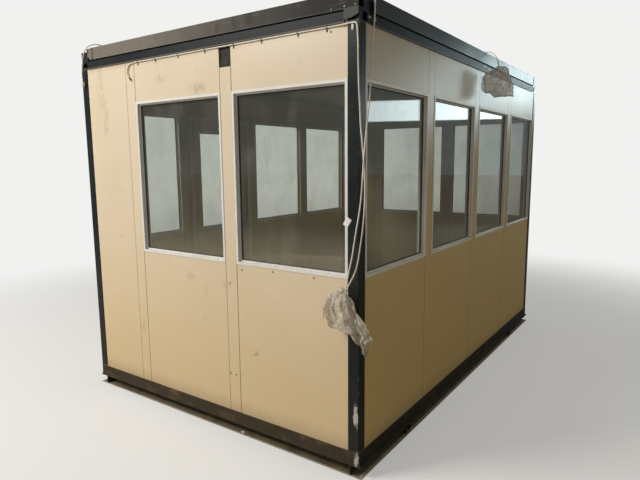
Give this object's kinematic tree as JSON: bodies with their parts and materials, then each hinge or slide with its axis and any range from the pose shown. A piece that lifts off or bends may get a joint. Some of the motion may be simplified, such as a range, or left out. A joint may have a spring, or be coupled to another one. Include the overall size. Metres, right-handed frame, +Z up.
{
  "type": "portable site cabin",
  "caption": "Portable office cabin on steel skids, with cream panel walls, a window band all round and a hinged door.",
  "frame": {"origin": "middle of the footprint, on the ground under the skids", "axes": "+Z up; -Y towards the end wall with the front cable; +X towards the long wall without the door"},
  "size_m": [2.6825, 3.7725, 2.6716],
  "materials": {
    "panel_cream": "satin coated sheet",
    "frame_steel": "anthracite paint, scuffed",
    "fascia_steel": "anthracite paint under dust",
    "skid_steel": "galvanised steel under brown dust",
    "roof_sheet": "coated sheet, dusty",
    "ceiling_panel": "off-white coated sheet",
    "floor_covering": "worn vinyl",
    "window_aluminium": "white-grey coated aluminium",
    "glass": "clear, slightly grey",
    "fittings": "brushed",
    "cable_pvc": "aged cream sheath",
    "connector_plastic": "pale moulded plastic",
    "film": "crumpled translucent film"
  },
  "bodies": {
    "cabin": {"cable_clips": "connector_plastic", "ceiling": "ceiling_panel", "ceiling_end_boards": "ceiling_panel", "cord_knot": "cable_pvc", "corner_cord": "cable_pvc", "corner_heads": "frame_steel", "corner_plates": "fascia_steel", "corner_posts": "frame_steel", "cross_bearers": "frame_steel", "door_frame_head": "window_aluminium", "door_frame_hinges": "fittings", "door_jambs": "window_aluminium", "door_lock_keep": "fittings", "door_threshold": "window_aluminium", "end_base_rails": "frame_steel", "end_fascias": "fascia_steel", "end_roof_strips": "frame_steel", "end_skids": "skid_steel", "floor": "floor_covering", "front_cable": "cable_pvc", "front_film_bag": "film", "front_glass": "glass", "front_left_head": "frame_steel", "front_pillars": "panel_cream", "front_wall_panels": "panel_cream", "front_window_frames": "window_aluminium", "left_connector": "connector_plastic", "left_cord": "cable_pvc", "left_glass": "glass", "left_pillars": "panel_cream", "left_wall_panels": "panel_cream", "left_window_frames": "window_aluminium", "pillar_cover_plate": "frame_steel", "rear_glass": "glass", "rear_left_head": "frame_steel", "rear_pillars": "panel_cream", "rear_wall_panels": "panel_cream", "rear_window_frames": "window_aluminium", "right_glass": "glass", "right_pillars": "panel_cream", "right_wall_panels": "panel_cream", "right_window_frames": "window_aluminium", "roof_cord": "cable_pvc", "roof_deck": "roof_sheet", "roof_glands": "connector_plastic", "side_base_rails": "frame_steel", "side_cord": "cable_pvc", "side_fascias": "fascia_steel", "side_film_bag": "film", "side_roof_strips": "frame_steel", "side_skids": "skid_steel"},
    "door": {"door_leaf": "panel_cream", "door_window_frame": "window_aluminium", "door_glass": "glass", "door_handles": "fittings", "door_leaf_hinges": "fittings"}
  },
  "joints": [
    {"name": "door_hinge", "type": "hinge", "parent": "cabin", "child": "door", "pos_m": [-1.227, -0.823, 1.15], "axis": [0, 0, 1], "range_deg": [0, 110]}
  ]
}
